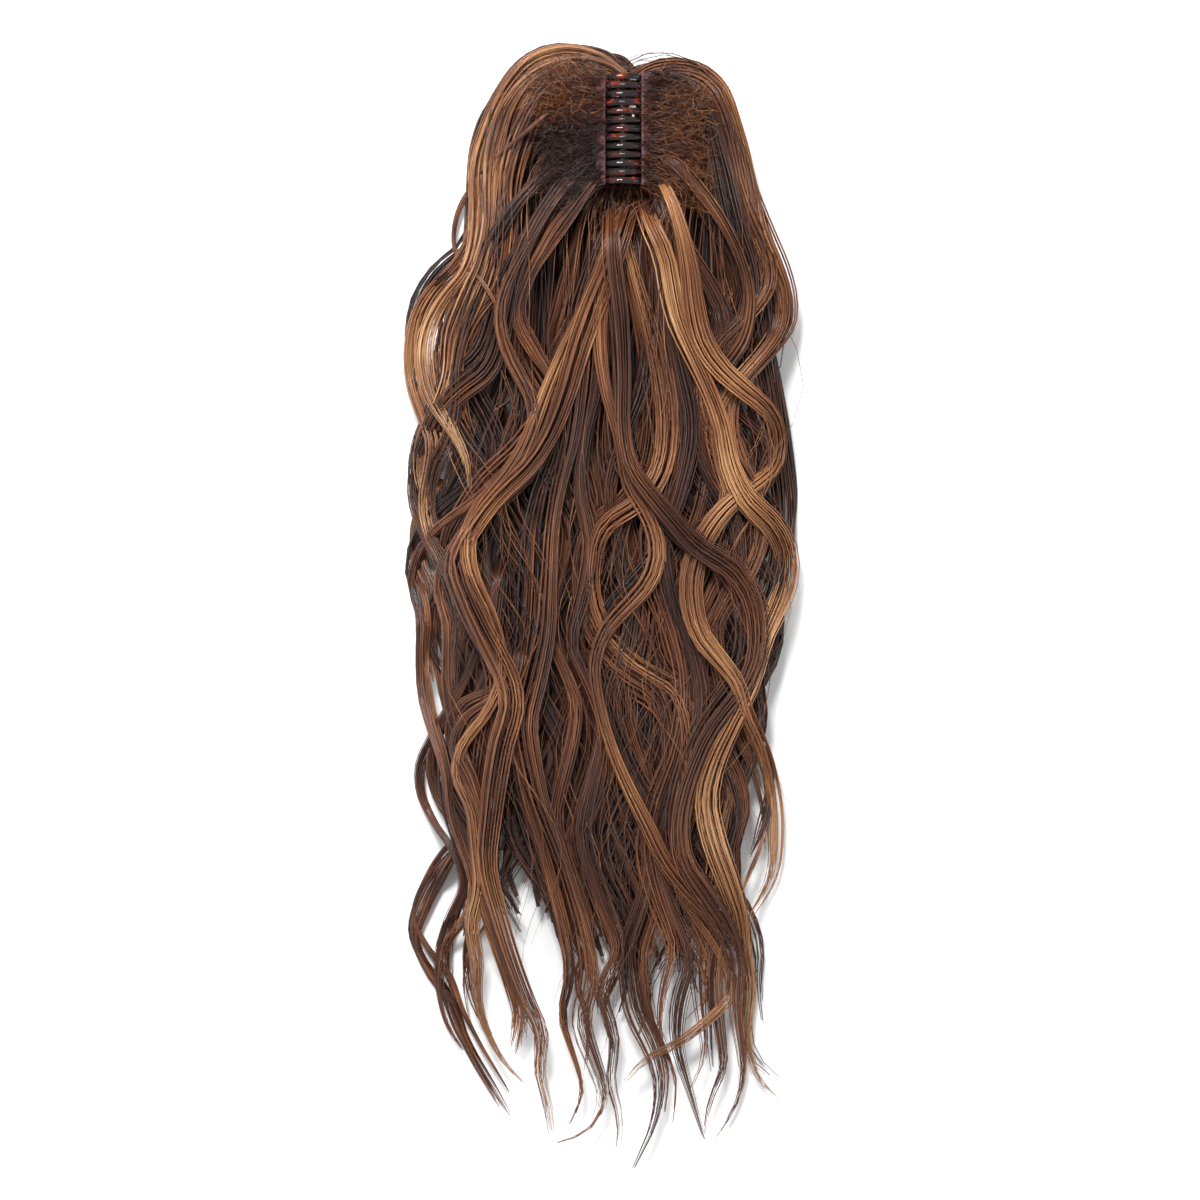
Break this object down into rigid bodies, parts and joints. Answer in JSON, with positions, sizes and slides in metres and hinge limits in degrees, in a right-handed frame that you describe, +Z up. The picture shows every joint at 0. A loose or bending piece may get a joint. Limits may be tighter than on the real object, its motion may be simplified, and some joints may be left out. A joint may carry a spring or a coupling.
{
  "type": "claw clip ponytail",
  "caption": "Long wavy brown ponytail hairpiece sewn to the jaws of a small spring claw clip, lying on its outer side with the claw's interlocked teeth facing up.",
  "frame": {"origin": "under the middle of the hairpiece's bounding box, on the surface that it lies on", "axes": "+Y from the hair's tips to its crown, where the claw is; +Z up, away from the surface, towards the claw's teeth; +X to the right as seen from above with the crown away from the viewer"},
  "size_m": [0.2116, 0.61, 0.0476],
  "materials": {
    "long_hair": "wavy synthetic hair, dark chocolate to auburn with copper and caramel highlights, satin",
    "tortoiseshell": "polished very dark brown tortoiseshell plastic with orange and red patches",
    "spring_steel": "plain spring wire and pin",
    "weft_tape": "burgundy knitted weft tape, matt",
    "teased_hair": "short teased hair, frizzy, auburn brown"
  },
  "bodies": {
    "hair": {"hair_fall": "long_hair", "hinge_pin": "spring_steel"},
    "left_jaw": {"jaw_left": "tortoiseshell", "weft_band_left": "weft_tape", "teased_roots_left": "teased_hair"},
    "right_jaw": {"jaw_right": "tortoiseshell", "weft_band_right": "weft_tape", "teased_roots_right": "teased_hair"}
  },
  "joints": [
    {"name": "left_jaw_hinge", "type": "hinge", "parent": "hair", "child": "left_jaw", "pos_m": [0.0125, 0.25425, 0.0225], "axis": [0, -1, 0], "range_deg": [0, 40], "stiffness_Nm_per_rad": 0.1, "springref_deg": -34.38},
    {"name": "right_jaw_hinge", "type": "hinge", "parent": "hair", "child": "right_jaw", "pos_m": [0.0125, 0.25425, 0.0225], "axis": [0, 1, 0], "range_deg": [0, 40], "stiffness_Nm_per_rad": 0.1, "springref_deg": -34.38}
  ],
  "couplings": [
    {"joint": "right_jaw_hinge", "follows": "left_jaw_hinge", "ratio": 1}
  ]
}
